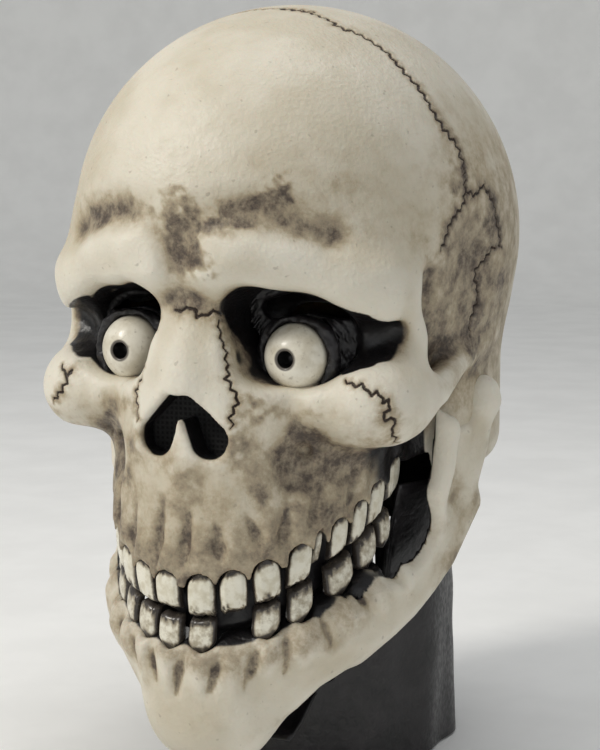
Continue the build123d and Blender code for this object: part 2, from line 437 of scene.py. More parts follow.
ridges(skull, 11, [        # the brow ridge
    ([(10, -95, 45), (21, -94, 50), (37, -88, 48), (53, -78, 38), (64, -66, 28)], (7, 8, 8, 8, 8)),
])
ridges(skull, 7, [         # the bar beside the orbit, the arch to the ear, and the cheekbone
    ([(69, -54, 32), (71, -52, 14), (70, -56, -6)], (7, 7, 9)),
    ([(72, -56, -8), (77, -42, -6), (77, -24, 0), (76, -6, 5), (75, 10, 9), (74, 22, 12)],
     (9, 6.5, 5, 4, 3, 2)),
    ([(46, -76, -9), (56, -70, -10), (66, -62, -9)], (8, 10, 10)),
])
skull.add(bar([(0, -98, -33), (0, -98, -40)], (4, 3)), 8)
form = skull.d.copy()
skull.cut(bar([(0, -113, 58), (0, -108, 42), (0, -105, 32)], (5, 6, 4)), 8)
over_brow = [(2, -110, 50), (14, -112, 62), (34, -104, 64), (56, -90, 56)]
for side in (1, -1):
    skull.cut(bar(sided(over_brow, side), (5, 8, 8, 7)), 7)
print("face built up")


# %% [markdown]
# Then the hollows are scooped out. The orbit is a rounded, slightly drooping opening that tapers
# inwards, so it is a shape of its own: an oval whose size shrinks with depth.

# %% Orbits, temples, cheek hollows and the gap behind the face
ORBIT_X, ORBIT_Z = 37.5, 15.0


def orbit(side, grow=0.0, floor=-63.0):
    """The hollow of one eye socket, opening towards the front."""
    def measure(x, y, z):
        open_up = np.clip((-62 - y) / 30, 0, 1.3)
        rx, rz = 18 + 3 * open_up + grow, 15 + 4.2 * open_up + grow
        u, v = (side * x - ORBIT_X) / rx, (z - ORBIT_Z) / rz
        ring = (np.abs(u) ** 2.4 + np.abs(v) ** 2.4) ** (1 / 2.4)
        return np.maximum((ring - 1) * np.minimum(rx, rz), y - floor - grow)

    centre = np.array([side * ORBIT_X, (floor - 140) / 2, ORBIT_Z])
    reach = np.array([38, (floor + 140) / 2, 38])
    return measure, centre - reach, centre + reach


def nose_hole(with_spur=True):
    """An upside-down heart with a spur of bone rising between its lobes."""
    def measure(x, y, z):
        flat = 0 * y
        heart = bar([(3, 0, -9), (11, 0, -21.5)], (4, 7.3))[0](x, flat, z)
        heart = smooth_min(heart, bar([(-3, 0, -9), (-11, 0, -21.5)], (4, 7.3))[0](x, flat, z), 3)
        spur = np.maximum(bar([(0, 0, -34), (0, 0, -24)], (2.2, 0.4))[0](x, flat, z), -94 - y)
        heart = np.maximum(heart, -spur) if with_spur else heart
        return np.maximum(heart, y + 80)

    return measure, np.array([-19, -130, -29]), np.array([19, -80, -5])


def dig(clay, side, work):
    """Hollows on one side. work is (points, radii, softness): one point is an egg, more a bar."""
    for points, radii, soft in work:
        points = sided(points, side)
        clay.cut(blob(points[0], radii) if len(points) == 1 else bar(points, radii), soft)


CORNER, CORNER_R = [(48, -86, 15), (60, -74, 15), (70, -61, 18)], (14, 9, 3)
BEFORE_ORBIT = [
    ([(95, -27, 37)], (13, 25, 27), 12),                              # temple
    ([(80, -47, 31)], (7, 5, 9), 6),                                  # behind the orbit's bar
    ([(89, -22, -18), (76, -38, -28)], (6, 5), 10),                   # under the arch
    ([(42, -89, -32)], (9, 11, 12), 6),                               # cheek
    ([(40, -80, -27)], (3, 5, 3), 2),                                 # small holes for nerves
    ([(47, -78, -25)], (2.5, 5, 2.5), 2),
    ([(27, -98, -10)], (2.5, 4, 2), 2),
    ([(45, -90, -40), (56, -79, -38), (64, -68, -36)], (5, 7, 8), 9),  # under the cheekbone
    ([(22, -104, -34), (30, -99, -42), (34, -97, -52)], (3, 4, 3), 6),  # beside the nose
    ([(73, -54, -44)], (13, 18, 17), 9),                              # beside the molars
    ([(84, 24, -60), (86, -12, -44), (82, -34, -34)], (9, 13, 10), 5),  # room for the jaw
]
AFTER_ORBIT = [
    (CORNER, CORNER_R, 4),                                            # outer corner of the orbit
    ([(24, -104, 24), (25, -68, 22)], (12, 11), 4),                   # inner corner of the orbit
]
for side in (1, -1):
    dig(skull, side, BEFORE_ORBIT)
    skull.cut(orbit(side), 4)
    dig(skull, side, AFTER_ORBIT)
skull.cut(blob((0, -116, 25), (32, 21, 13)), 6)
ridges(skull, 5, [
    ([(3, -88, 31), (7, -91, 14), (12, -94, -6), (17, -94, -24)], (5, 5, 5.5, 5)),
])
skull.add(bar([(0, -88, 36), (0, -92, 20), (0, -97, 2), (0, -97, -8)], (5.5, 6.5, 8.5, 9)), 6)
skull.cut(nose_hole(), 2.5)
print("hollows scooped")


# %% [markdown]
# Along the bite the bone is held by long roots: low ridges with deep grooves between them. Its
# edge has a rounded bay for each tooth, which leaves points of bone hanging between the teeth.

# %% Roots, grooves and bays
def on_face(clay, seat, height, out=0.0):
    """The point of the clay's surface in front of a seat, at a height over the bite."""
    reach = np.arange(16, -8, -0.5)
    line = np.array([seat.at(0, step, height) for step in reach])
    solid = clay.sample(line) < 0
    return seat.at(0, (reach[np.argmax(solid)] if solid.any() else 0) + out, height)


def roots(clay, row, gum, up):
    """Ridges over the roots of one row of teeth. up is 1 for the upper row, -1 for the lower."""
    for _, seat, width in seats(row):
        line = [on_face(clay, seat, gum + up * high, -2.0) for high in (3, 9, 16)]
        clay.add(bar(line, (width * 0.26, width * 0.22, width * 0.12)), 4)


def grooves(clay, gum, up, work):
    """Lens-shaped grooves. work is (place, height over the gum line, half length, radius)."""
    for place, height, half, radius in work:
        sway = 0.05 * math.sin(place * 23)
        line = []
        for part in (-1, -0.3, 0.3, 1):
            high = gum + up * (height + part * half * 1.15)
            line.append(on_face(clay, Seat(place + sway * part), high, 0.3))
        clay.cut(bar(line, (0.5, radius * 0.9, radius * 0.6, 0.4)), 3)


def bays(clay, row, gum, up):
    """Pointed bays in the bone's edge, like small gothic windows, one for each tooth."""
    for _, seat, width in seats(row):
        arch = width / 2 + 0.25
        for out in (-6, -2, 2, 5):
            line = [seat.at(0, out, gum - up * drop) for drop in (-1.5, arch * 0.9, arch + 14)]
            clay.cut(bar(line, (0.8, arch, arch)), 0.8)


UPPER_GROOVES = [(-1.12, 8, 6, 1.5), (-0.92, 10, 7, 1.8), (-0.68, 12, 8, 2.0),
                 (-0.43, 12, 8, 2.2), (-0.17, 15, 11, 3.0), (0.03, 13, 9, 2.4), (0.26, 11, 6, 2.4),
                 (0.49, 12, 6, 2.0), (0.67, 10, 6, 2.0), (0.86, 12, 6, 1.8), (1.12, 9, 5, 1.6)]
roots(skull, "upper", GUM_UPPER, 1)
grooves(skull, GUM_UPPER, 1, UPPER_GROOVES)
under_face = within(under_bite(GUM_UPPER - 5.5), slab(0, 66, -1), slab(0, -66), slab(1, 30, -1))
skull.cut(under_face, 1.5)
bays(skull, "upper", GUM_UPPER, 1)
print("roots and bays cut")


# %% [markdown]
# The sculpt is solid; the mask is a skin. Moving the surface in by the skin's thickness and taking
# that core away leaves an even wall. The underside is then opened for the neck and the mouth, and
# the back of each orbit for the eye cup.

# %% Hollow it out, and open it
def drop_core(clay, wall):
    clay.d = np.maximum(clay.d, -(clay.d + wall))


def open_with(clay, shape):
    measure, low, high = shape
    part, where = clay.window(low, high, 2)
    clay.d[part] = np.maximum(clay.d[part], -measure(*where))


solid = skull.d.copy()
skull_hollow = [hollowness(skull, reach) for reach in (4, 12, 24)]
drop_core(skull, SKIN)
open_with(skull, column((66, 74), 14, -70, -34, 1))
open_with(skull, column((47.5, 60.5), ARCH_Y, -90, -36, 1))
for side in (1, -1):
    open_with(skull, orbit(side, -2.5, -50))
open_with(skull, (lambda x, y, z: nose_hole()[0](x, np.minimum(y, -90), z) + 1.5, *nose_hole()[1:]))
skull_mesh = peel(skull)
print("skull skin:", len(skull_mesh[0]), "vertices")


# %% [markdown]
# ## The jaw
# The jaw is a second skin: a bent plate that follows an oval from ear to ear. Seen from the side it
# has the outline of a real lower jaw. So two shapes are enough, the oval and the outline, and the
# plate is what lies inside both. Its own ridges and its knob at the hinge are melted on.

# %% The oval and the side outline
JAW_OVALS = [(-152, -27, 30, 56), (-128, -24, 50, 69), (-104, -19, 65, 83), (-60, -3, 76, 97),
             (-2, 3, 81, 103)]
JAW_OUTLINE = [(-26, -14), (-20, -19), (-12, -24), (-4, -22), (8, -17), (18, -30), (19, -38),
               (14, -50), (2, -66), (-6, -78), (-18, -91), (-45, -107), (-66, -121), (-74, -138),
               (-84, -150), (-122, -150), (-122, -113), (-44, -72), (-32, -60), (-25, -44),
               (-27, -22)]


def jaw_oval(grow=0.0):
    heights, centres, across, along = np.array(JAW_OVALS, np.float32).T

    def measure(x, y, z):
        cy, rx, ry = (np.interp(z, heights, row) for row in (centres, across, along))
        rx, ry = rx + grow, ry + grow
        return (np.sqrt((x / rx) ** 2 + ((y - cy) / ry) ** 2) - 1) * np.minimum(rx, ry) * 0.95

    return measure, np.array([-84, -112, -160]), np.array([84, 112, 0])


def side_outline(points):
    """Everything inside an outline drawn on the side view, through the whole width."""
    p = np.array(points, np.float32)

    def measure(x, y, z):
        best, inside = np.float32(FAR ** 2), False
        for (ay, az), (by, bz) in zip(p, np.roll(p, -1, axis=0)):
            ey, ez = by - ay, bz - az
            t = np.clip(((y - ay) * ey + (z - az) * ez) / (ey * ey + ez * ez), 0, 1)
            best = np.minimum(best, (y - ay - t * ey) ** 2 + (z - az - t * ez) ** 2)
            crosses = (az > z) != (bz > z)
            inside = inside ^ (crosses & (y < ay + (z - az) / (ez if ez else 1) * ey))
        return np.where(inside, -1, 1) * np.sqrt(best) + 0 * x

    low, high = p.min(0), p.max(0)
    return measure, np.array([-90, low[0], low[1]]), np.array([90, high[0], high[1]])


jaw = Clay((-92, -118, -158), (92, 34, -2), 1.3)
jaw.add(side_outline(JAW_OUTLINE), 0)
jaw.keep(jaw_oval(), 7)
print("jaw plate,", jaw.d.size, "grid nodes")


# %% [markdown]
# The jaw's own features: the knob that turns under the arch, the thin front horn of the upright
# branch, the flared corner, the chin's boss and two low tubercles, and roots as in the upper row.

# %% Knob, horn, corner, chin and roots
ridges(jaw, 6, [
    ([(78, 8, -15), (78, 8, -13)], (8, 7.5)),
    ([(77, 8, -18), (76, 7, -34), (73, 0, -52)], (5, 4.5, 4)),
    ([(75, -21, -24), (74, -23, -40), (69, -29, -60), (62, -44, -78)], (3.5, 4, 4, 3)),
    ([(73, 6, -58), (67, -10, -78), (60, -30, -94), (48, -52, -108)], (5, 6, 5, 5)),
])
for side in (1, -1):
    jaw.add(blob((side * 10, -82, -134), (13, 8, 13)), 12)
    jaw.cut(bar(sided([(82, -12, -34), (80, -14, -52)], side), (4, 5)), 8)
    rim = [Seat(side * place).at(0, 16, GUM_LOWER + 7) for place in (0.45, 0.7, 0.95, 1.2, 1.45)]
    jaw.cut(bar(rim, (13, 15, 15.7, 16, 16.5)), 5)
jaw.add(blob((0, -89, -120), (18, 8, 18)), 14)
LOWER_GROOVES = [(-1.20, 6, 5, 1.5), (-0.92, 7, 6, 1.7), (-0.68, 8, 6, 1.8), (-0.46, 8, 6, 2.0),
                 (-0.25, 7, 6, 1.9), (-0.03, 9, 7, 2.2), (0.23, 8, 6, 2.0), (0.46, 9, 7, 2.2),
                 (0.68, 9, 7, 2.0), (0.93, 9, 7, 1.8), (1.18, 8, 6, 1.7), (1.40, 7, 5, 1.5)]
roots(jaw, "lower", GUM_LOWER, -1)
grooves(jaw, GUM_LOWER, -1, LOWER_GROOVES)
jaw.cut(within(outside(under_bite(GUM_LOWER + 4.5)), slab(1, -40, -1)), 1.5)
bays(jaw, "lower", GUM_LOWER, -1)
jaw_hollow = [hollowness(jaw, reach) for reach in (4, 12)]
rim_core = column((47.5, 60.5), ARCH_Y, -160, 0, 1)
inner = jaw_oval(-5.5)
shelf = under_bite(GUM_LOWER - 5)


def jaw_core(x, y, z):
    """The room inside the jaw, which leaves a shelf behind the lower teeth."""
    under_shelf = np.maximum(inner[0](x, y, z), np.minimum(shelf[0](x, y, z), -44 - y))
    return np.minimum(under_shelf, np.maximum(inner[0](x, y, z), rim_core[0](x, y, z)))


open_with(jaw, (jaw_core, *jaw_oval()[1:]))
jaw_mesh = peel(jaw)
print("jaw skin:", len(jaw_mesh[0]), "vertices")


# %% [markdown]
# ## Teeth
# On this kind of mask each tooth is a plug of harder rubber with a pointed root end, like a small
# gothic window, a bulging front and a worn edge. One parametric loft makes them all: rings of
# points from root to edge, whose width and depth follow curves. A seeded wobble sets them apart.

# %% Loft one tooth
RINGS, ROUND = 26, 40
tooth_dice = np.random.default_rng(11)


def tooth_mesh(seat, width, root, tip, depth=7.0):
    """Rings from the root, t = 0, to the uneven biting edge, t = 1."""
    lean, turn, edge = (tooth_dice.normal(0, spread) for spread in (0.07, 0.06, 0.7))
    bumps = tooth_dice.uniform(0, 6, 4)
    length = abs(tip - root) + edge
    up = np.sign(root - tip)
    rings = []
    for t in np.linspace(0, 1, RINGS):
        arch = 1 - (1 - min(t / 0.42, 1)) ** 2.1
        wide = (width / 2 - 0.3) * (0.10 + 0.90 * arch) * (1 - 0.05 * max(t - 0.6, 0) / 0.4)
        end = max(t - 0.86, 0) / 0.14
        wide *= 1 - 0.16 * end ** 2.2
        front = 0.9 * math.sin(math.pi * min(t * 1.05, 1)) ** 0.8 - 1.6 * end ** 2
        deep = depth * (0.62 + 0.38 * arch) * (1 - 0.30 * t) * (1 - 0.45 * end ** 2)
        for a in np.linspace(0, 2 * math.pi, ROUND, endpoint=False):
            c, s = math.cos(a), math.sin(a)
            side = math.copysign(abs(c) ** 0.72, c) * wide
            out = math.copysign(abs(s) ** 0.72, s) * deep / 2 - depth / 2 + front
            wear = 0.35 * math.sin(side * 1.1 + bumps[0]) + 0.22 * math.sin(side * 2.7 + bumps[1])
            groove = 0.16 * math.cos(side * 3.1 + bumps[2]) * arch * (s > 0)
            height = root - up * t * (length + wear * end)
            along = side + lean * (t - 0.5) * length
            rings.append(seat.at(along, out + groove + turn * side, height))
    points = np.array(rings)
    faces = []
    for i in range(RINGS - 1):
        for j in range(ROUND):
            k = (j + 1) % ROUND
            faces.append((i * ROUND + j, i * ROUND + k, (i + 1) * ROUND + k, (i + 1) * ROUND + j))
    faces.append(tuple(range(ROUND))[::-1])
    faces.append(tuple(range((RINGS - 1) * ROUND, RINGS * ROUND)))
    if up < 0:
        faces = [face[::-1] for face in faces]
    return points, faces


teeth = {}
for row, root, tip in (("upper", GUM_UPPER + 2.2, TIP_UPPER - 0.6),
                       ("lower", GUM_LOWER - 1.6, TIP_LOWER + 0.2)):
    for name, seat, width in seats(row):
        made = tooth_mesh(seat, width, root, tip + (2.5 if name.endswith("stub") else 0))
        teeth[name] = make_mesh(name + "_sculpted", *made)
print(len(teeth), "teeth, each", RINGS * ROUND, "vertices")


# %% [markdown]
# ## Eyes
# The eyeballs are hard balls with a drilled pupil. Each sits in a black cup whose wall is worked
# into strands, like muscle round the ball, with a thick lid ring. Above the ball a crescent is cut
# for the wearer to see through. The cup is clay again, on a finer grid.

# %% Sculpt one eye cup, and mirror it
BALL, BALL_R, PUPIL_R = np.array([35.5, -73.0, 8.0]), 13.3, 3.1


def eye_cup():
    cup = Clay((6, -104, -14), (74, -46, 48), 0.6)
    x, y, z = np.ix_(*cup.axes)
    room = orbit(1, 0.6, -56)[0](x, y, z)
    for points, radii in (([(48, -86, 15), (60, -74, 15), (69, -62, 18)], (13.5, 8.5, 3)),
                          ([(23, -104, 27), (25, -68, 24)], (12.5, 11.5))):
        room = np.minimum(room, bar(points, radii)[0](x, y, z))
    along, up = x - BALL[0], z - BALL[2]
    away = np.sqrt(along ** 2 + up ** 2 + 0 * y)
    angle = np.arctan2(up + 0 * x, along + 0 * z)
    floor = -69 - 0.35 * np.clip(away - 13, 0, 20) + 1.15 * np.clip(x - 47, 0, 30)
    floor = floor + 2.5 * np.clip((up - 8) / 6, 0, 1)
    warp = 1.1 * np.sin(angle * 4 + 0.7) + 0.8 * np.sin(x * 0.31 + z * 0.23)
    warp = warp + 0.6 * np.sin(z * 0.5 - x * 0.2)
    strands = np.sin(away * 2.3 + 2 * warp) + 0.6 * np.sin(away * 3.7 - 3 * warp + 1.3)
    strands = strands * (0.7 + 0.5 * np.sin(angle * 13 + away * 0.5))
    sheet = np.maximum(floor + 0.55 * strands - y, y - floor - 5)
    cup.d = np.maximum(room, sheet).astype(np.float32)
    folds = 0.6 * np.sin(angle * 7 + away * 1.7) + 0.4 * np.sin(angle * 19 + 1 + warp)
    lid = np.sqrt((away - BALL_R - 1.2) ** 2 + ((y + 74) * 0.8) ** 2) - 2.6 - 0.45 * folds
    cup.d = smooth_min(cup.d, lid.astype(np.float32), 2.5)
    cup.cut(blob(BALL, (BALL_R + 0.1,) * 3), 0.5)
    crescent = bar([(22, 0, 25), (36, 0, 28.5), (50, 0, 25)], (3.8, 4.6, 3.2))[0]
    cup.cut((lambda x, y, z: crescent(x, 0 * y, z), [16, -104, 18], [56, -46, 36]), 1)
    return peel(cup)


cup_points, cup_faces = eye_cup()
print("eye cup:", len(cup_points), "vertices")


# %% Turn an eyeball with its drilled pupil
def lathe(profile, centre, around=64):
    """Spins (radius, depth) rings about a line that runs towards the front."""
    points, faces = [], []
    for radius, depth in profile:
        for a in np.linspace(0, 2 * math.pi, around, endpoint=False):
            points.append(centre + np.array([radius * math.cos(a), depth, radius * math.sin(a)]))
    for i in range(len(profile) - 1):
        for j in range(around):
            k = (j + 1) % around
            low, high = i * around, (i + 1) * around
            faces.append((low + j, high + j, high + k, low + k))
    faces.append(tuple(range(around)))
    faces.append(tuple(range((len(profile) - 1) * around, len(profile) * around))[::-1])
    return np.array(points), faces


mouth = math.asin((PUPIL_R + 0.7) / BALL_R)
meridian = np.linspace(0.06, math.pi - mouth, 40)
ball = [(BALL_R * math.sin(a), BALL_R * math.cos(a)) for a in meridian]
ball += [(PUPIL_R + 0.25, -BALL_R + 0.75), (PUPIL_R, -BALL_R + 1.3), (PUPIL_R - 0.1, -BALL_R + 8)]
eyes = {}
for side, sign in (("left", 1), ("right", -1)):
    eyes[side] = make_mesh("ball_" + side, *lathe(ball, BALL * (sign, 1, 1)))
    flip = np.array(cup_faces) if sign == 1 else np.array(cup_faces)[:, ::-1]
    eyes["cup_" + side] = make_mesh("cup_" + side, cup_points * (sign, 1, 1), flip)
print("eyes:", sorted(eyes))


# %% [markdown]
# ## Cracks and sutures
# The seams of a skull are dug with a loop tool in a nervous zigzag, and dark wash stays in them.
# Each is a short path, given as a list, laid on the clay and jittered. The mesh is too coarse for a
# line a millimetre wide, so only the faces near a path are divided, and their vertices sink.

# %% Paths: (points, jitter, half width)
CRACKS = [
    # over the crown to the temple
    ([(-20, -26, 139), (5, -28, 138), (17, -28, 136), (33, -32, 130), (47, -28, 122),
      (56, -29, 115), (67, -28, 101), (71, -27, 93), (76, -23, 86), (79, -22, 78), (80, -24, 73)],
     1.9, 0.75),
    # its branches on the temple: forwards, backwards, and down
    ([(80, -24, 73), (82, -25, 64), (80, -34, 58), (79, -37, 51), (78, -41, 46)], 1.5, 0.6),
    ([(80, -24, 70), (82, -18, 67), (83, -10, 71), (85, -2, 63), (86, 1, 55), (86, 6, 44)],
     1.4, 0.6),
    ([(86, 0, 47), (84, -12, 37), (82, -7, 26), (80, -11, 18), (78, -9, 10)], 1.3, 0.55),
    # across the left cheekbone
    ([(57, -83, 3), (61, -83, 1), (66, -82, 0), (68, -83, -3), (72, -81, -2), (73, -82, -6),
      (76, -79, -6), (73, -81, -13), (77, -77, -13), (74, -76, -18), (73, -68, -23)], 1.2, 0.65),
    # across the root of the nose, and down its side
    ([(-3, -94, 25), (3, -96, 27), (5, -95, 23), (11, -93, 26), (14, -92, 23)], 0.8, 0.6),
    ([(12, -94, 22), (17, -95, 14), (19, -96, 7), (17, -97, 1), (22, -96, -6), (19, -97, -12),
      (20, -98, -18)], 1.2, 0.55),
    # across the right cheekbone
    ([(-66, -82, 1), (-61, -84, -3), (-59, -83, 0), (-62, -85, -7), (-65, -85, -11),
      (-70, -82, -15)], 1.2, 0.65),
]
FAR_SIDE = [CRACKS[n] for n in (0, 1, 2, 3, 6)]


def crack_line(clay, points, jitter, dice):
    """A zigzag along a path, close-set points that lie on the clay."""
    p = np.array(points, float)
    steps = np.linalg.norm(np.diff(p, axis=0), axis=1)
    walk = np.concatenate([[0], np.cumsum(steps)])
    stops = np.arange(0, walk[-1], 2.1)
    line = np.stack([np.interp(stops, walk, p[:, i]) for i in range(3)], axis=1)
    line = settle(clay, line, 8, solid)
    along = np.gradient(line, axis=0)
    across = np.cross(along, clay.normals(line, solid))
    across /= np.maximum(np.linalg.norm(across, axis=1, keepdims=True), 1e-6)
    sway = np.where(np.arange(len(line)) % 2, 1, -1) * dice.uniform(0.2, 1.0, len(line)) * jitter
    line = line + across * sway[:, None]
    fine = np.arange(0, len(line) - 1, 0.12)
    line = np.stack([np.interp(fine, np.arange(len(line)), line[:, i]) for i in range(3)], axis=1)
    return settle(clay, line, 3, solid)


crack_dice = np.random.default_rng(5)
mirrored = [([(-x, y, z) for x, y, z in points], *rest) for points, *rest in FAR_SIDE]
samples, widths = [], []
for points, jitter, width in CRACKS + mirrored:
    line = crack_line(skull, points, jitter, crack_dice)
    taper = np.interp(np.linspace(0, 1, len(line)), (0, 0.1, 0.85, 1), (0.6, 1, 1, 0.35))
    samples.append(line)
    widths.append(width * taper * crack_dice.uniform(0.7, 1.25, len(line)))
samples, widths = np.concatenate(samples), np.concatenate(widths)
crack_tree = KDTree(len(samples))
for index, place in enumerate(samples):
    crack_tree.insert(place, index)
crack_tree.balance()
print(len(CRACKS) + len(mirrored), "cracks,", len(samples), "points")


# %% Divide the faces near the paths, and sink the line
def refine_near(thing, reach, cuts):
    """Divides the faces that lie within a reach of a crack, in millimetres."""
    work = bmesh.new()
    work.from_mesh(thing.data)
    near = [f for f in work.faces if crack_tree.find(f.calc_center_median() / MM)[2] < reach]
    edges = list({e for f in near for e in f.edges})
    bmesh.ops.subdivide_edges(work, edges=edges, cuts=cuts, use_grid_fill=True)
    work.to_mesh(thing.data)
    work.free()


def vertex_points(thing):
    flat = np.empty(len(thing.data.vertices) * 3, np.float32)
    thing.data.vertices.foreach_get("co", flat)
    return flat.reshape(-1, 3) / MM


def put_back(thing, points):
    thing.data.vertices.foreach_set("co", (points * MM).astype(np.float32).ravel())
    thing.data.update()


skull_skin = make_mesh("skull_skin_cast", *skull_mesh)
refine_near(skull_skin, 2.6, 3)
points = vertex_points(skull_skin)
found = [crack_tree.find(p) for p in points]
gap = np.array([hit[2] for hit in found]) / widths[[hit[1] for hit in found]]
crack_depth = np.exp(-gap ** 2)
outer = skull.sample(points, solid) > -1.5
points -= skull.normals(points) * (1.1 * crack_depth * outer)[:, None]
put_back(skull_skin, points)
print("refined skull:", len(points), "vertices")


# %% [markdown]
# ## Where the paint goes
# The painter works dark to light: black is sprayed into the sockets, the nose and round the gums,
# a brown wash runs over everything and is wiped off the high places, and a few smudges are dabbed
# on. Painted shade is laid on too: darker hollows, a darker lower face and temple side, and black
# inside the front of the shell and beside the orbits' outer corners; the ridges get a painted
# highlight. Each of those is worked out here as a mask from 0 to 1 on the vertices.

# %% Ramps and brush strokes
def ramp(value, start, end):
    """0 at start, 1 at end, with soft shoulders."""
    t = np.clip((value - start) / (end - start), 0, 1)
    return t * t * (3 - 2 * t)


def at(shape, points):
    x, y, z = points.T
    return shape[0](x, y, z)


def smudges(points, strokes):
    """Soft brush strokes: (path, radius, strength), with a ragged edge."""
    ragged = 1 + 0.35 * wander(points, 6, 21) + 0.15 * wander(points, 2.5, 22)
    total = np.zeros(len(points))
    for path, radius, strength in strokes:
        away = at(bar(path, 0.01), points)
        total = np.maximum(total, strength * np.exp(-(away / (radius * ragged.clip(0.4))) ** 2))
    return total


BOTH_SIDES = [
    ([(60, -70, -30), (52, -78, -44)], 8, 0.45),              # under the cheekbone
    ([(24, -97, -20), (30, -96, -40)], 5, 0.55),              # beside the nose
    ([(42, -80, -27), (44, -82, -36)], 8, 1.0),               # hollow of the cheek
]
SMUDGES = BOTH_SIDES + [(sided(path, -1), *rest) for path, *rest in BOTH_SIDES] + [
    ([(0, -106, 62), (4, -105, 54), (6, -105, 46)], 6, 1.7),  # the V between the brows
    ([(21, -102, 63), (13, -105, 55)], 3.5, 0.9),
    ([(10, -103, 47), (11, -99, 40)], 3.5, 0.7),
    ([(22, -102, 59), (30, -98, 65), (38, -93, 69)], 4.5, 1.5),  # over the left brow
    ([(22, -102, 60), (30, -98, 56)], 5, 0.3),
    ([(44, -90, 70), (58, -76, 74)], 10, 0.22),
    ([(30, -94, 82), (48, -82, 84)], 10, 0.14),
    ([(-24, -101, 62), (-46, -88, 62)], 6, 0.45),             # over the right brow
    ([(26, -98, -8), (30, -95, -14)], 3.5, 0.9),              # under the eyes
    ([(36, -91, -13), (42, -87, -12)], 3.5, 0.55),
    ([(-30, -92, -14), (-40, -85, -13)], 4, 0.6),
    ([(79, -24, 76), (79, -30, 70)], 5, 0.8),                 # on the left temple
    ([(79, -9, 14), (79, -9, 8)], 5, 1.5),
    ([(84, -4, 62), (85, -2, 52)], 6, 0.5),
    ([(70, -34, 56), (72, -34, 36)], 9, 0.45),
    ([(80, -12, 40), (82, 10, 30)], 14, 0.35),
    ([(0, -101, -36), (0, -101, -44)], 6, 0.4),               # under the nose
]
print(len(SMUDGES), "smudges")

# %% [markdown]
# Black goes on where the clay was dug away: `under` says how deep a point lies below the first,
# solid form. Near an opening the edge of the black wanders a little, as sprayed paint does. Some of
# the black is painted shade: in the wide hollow beside each orbit's outer corner, and inside the
# front and lower part of the shell.

# %% Black paint on the skull, partly painted shade
x, y, z = points.T
bite = z - SLOPE * y
under = -skull.sample(points, form)
ragged_edge = wander(points, 9, 3)
wide = skull.sample(points + 3 * skull.normals(points), skull_hollow[2])
socket, corner_black_and_shade = FAR + 0 * x, 0 * x
for side in (1, -1):
    inner_corner = bar(sided([(23, -104, 27), (25, -68, 24)], side), (14, 13))
    socket = np.minimum.reduce([socket, at(orbit(side, 3), points), at(inner_corner, points)])
    near = at(bar(sided(CORNER, side), CORNER_R), points) + 0.5 * ragged_edge
    dug = ramp(near, 2.4, 1.0) * ramp(np.abs(x), 73, 69)
    # painted shade: black in the wide hollow beside the orbit's outer corner
    corner_shade = ramp(near, 7, 5) * ramp(wide, -0.32, -0.2) * ramp(np.abs(x), 72, 68)
    corner_black_and_shade = np.maximum.reduce([corner_black_and_shade, dug, corner_shade])
socket_black = ramp(socket, 1.5, -0.5) * ramp(under + 1.2 * ragged_edge, 5, 9)
nose_black = ramp(at(nose_hole(False), points), 2.0, 0.8) * ramp(under, 0.6, 2.2)
face_side = 12 * ramp(np.abs(x), 68, 62)
jaw_gap = ramp(np.abs(x), 52, 60) * ramp(z, -15, -24) * ramp(y, -66, -54) * ramp(y, 34, 24)
jaw_gap *= ramp(np.maximum(under + ragged_edge, face_side), 3, 8)
gum = ramp(bite, GUM_UPPER + 1.5, GUM_UPPER - 1.5) * ramp(under, 0.4, 1.6) * ramp(y, -12, -22)
inner_wall = ramp(skull.sample(points, solid), -1.4, -2.2)
# painted shade: the inside of the shell at the front and bottom is black, where shade shows through
inside_shade = inner_wall * np.maximum(ramp(y, 0, -20), ramp(z, 20, 0))
black = np.maximum.reduce([socket_black, nose_black, corner_black_and_shade, jaw_gap, gum, inside_shade])
print("share of black on the skull skin:", black.mean().round(2))

# %% [markdown]
# The wash is a sum: a real brown wash that runs into small hollows and stays along the seams, the
# smudges, and painted shade, which darkens the middling and wide hollows and the dug places and
# gives a darker, warmer tone round the teeth, over the lower face and behind the temples.

# %% Brown wash and painted shade on the skull
narrow = skull.sample(points + skull.normals(points), skull_hollow[0])
broad = skull.sample(points + 2 * skull.normals(points), skull_hollow[1])
mottle = wander(points, 14, 8)
# real brown wash in the small hollows and grooves
wash = 1.7 * ramp(narrow, -0.24, 0.12)
# painted shade: darker in the middling and wide hollows and in the dug places
wash += 0.95 * ramp(broad, -0.27, 0.22)
wash += 0.75 * ramp(wide, -0.38, 0.0) * ramp(y, 60, 20) * ramp(z, 100, 70)
wash += 0.55 * ramp(under, 2, 9)
wash += 0.45 * np.exp(-(gap / 4.5) ** 2) * outer
wash += smudges(points, SMUDGES) * (0.85 + 0.3 * mottle)
# painted shade: darker and warmer round the upper teeth and over the lower face, darker on the
# sides
wash += 0.42 * ramp(bite, GUM_UPPER + 26, GUM_UPPER + 4) * ramp(y, -30, -60)
wash += 0.32 * ramp(z, 5, -35) * ramp(y, -40, -70)
wash += 0.26 * ramp(np.abs(x), 60, 80) * ramp(y, -55, -25)
wash += 0.07 * mottle * ramp(z, 60, 10)
# painted highlight: raised places that hold little wash get a lighter coat in the material
raised = ramp(-broad, 0.32, 0.48) * (1 - ramp(wash, 0.1, 0.6))
paint(skull_skin, wash=wash, black=black, crack=crack_depth * outer, raised=raised,
      bare=inner_wall * ramp(z, 0, 20) * ramp(y, -20, 0))
print("wash over the face:", wash[(inner_wall < 0.1) & (y < -40)].mean().round(2))
